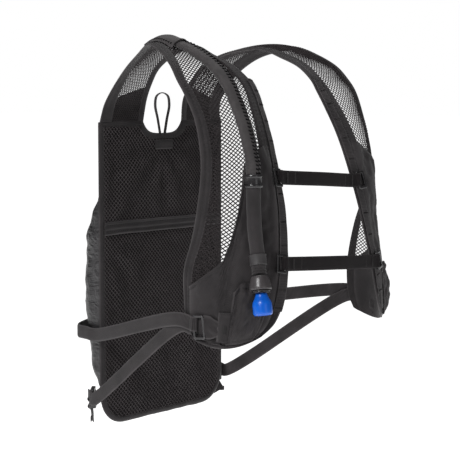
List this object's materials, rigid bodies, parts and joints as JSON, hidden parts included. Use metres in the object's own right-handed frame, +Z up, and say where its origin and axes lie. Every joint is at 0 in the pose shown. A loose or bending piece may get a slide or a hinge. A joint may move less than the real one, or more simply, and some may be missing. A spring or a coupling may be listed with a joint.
{
  "type": "hydration pack",
  "caption": "Minimal vest hydration pack: mesh back panel with hollow pouch, net shoulder straps, chest and side straps, routed drinking tube with bite valve.",
  "frame": {"origin": "between the shoulders, level with the underside of the two straps where they cross the shoulder line", "axes": "+Z up, -Y to the wearer's front, +X to the wearer's left"},
  "size_m": [0.3478, 0.3529, 0.5101],
  "materials": {
    "webbing": "matt woven polyester webbing",
    "net": "coarse open knit of black yarn",
    "binding": "smooth folded edging with stitched seams",
    "pad_cloth": "fine woven cloth, slightly wrinkled",
    "ripstop": "glossy wrinkled ripstop nylon",
    "black_plastic": "moulded acetal, satin gloss",
    "grey_cap": "moulded cap, matt dark grey",
    "valve_silicone": "smooth blue silicone, glossy"
  },
  "bodies": {
    "root": {"arm_band_left": "binding", "arm_band_right": "binding", "back_panel": "net", "bite_valve": "valve_silicone", "chest_slider_lower_left": "black_plastic", "chest_slider_lower_right": "black_plastic", "chest_slider_upper_left": "black_plastic", "chest_slider_upper_right": "black_plastic", "chest_strap_lower": "webbing", "chest_strap_upper": "webbing", "d_ring_left": "black_plastic", "d_ring_right": "black_plastic", "d_ring_tab_left": "webbing", "d_ring_tab_right": "webbing", "front_pad_left": "pad_cloth", "front_pad_right": "pad_cloth", "hang_loop": "webbing", "hang_loop_patch": "binding", "ladder_lock_left": "black_plastic", "ladder_lock_right": "black_plastic", "neck_band_left": "binding", "neck_band_right": "binding", "pad_pocket_left": "pad_cloth", "pad_pocket_right": "pad_cloth", "panel_binding": "binding", "pouch": "ripstop", "rail_webbing_left": "webbing", "rail_webbing_right": "webbing", "side_strap_left": "webbing", "side_strap_right": "webbing", "strap_keeper_left": "webbing", "strap_keeper_right": "webbing", "strap_net_left": "net", "strap_net_right": "net", "strap_tail_left": "webbing", "strap_tail_right": "webbing", "tube_cover": "pad_cloth", "tube_hood": "pad_cloth", "tube_keeper_ring": "grey_cap", "tube_keeper_tab": "pad_cloth", "tube_sleeve": "pad_cloth", "valve_dome": "grey_cap", "valve_ring": "black_plastic", "wrap_strap": "webbing", "zip_band": "binding"}
  },
  "joints": []
}
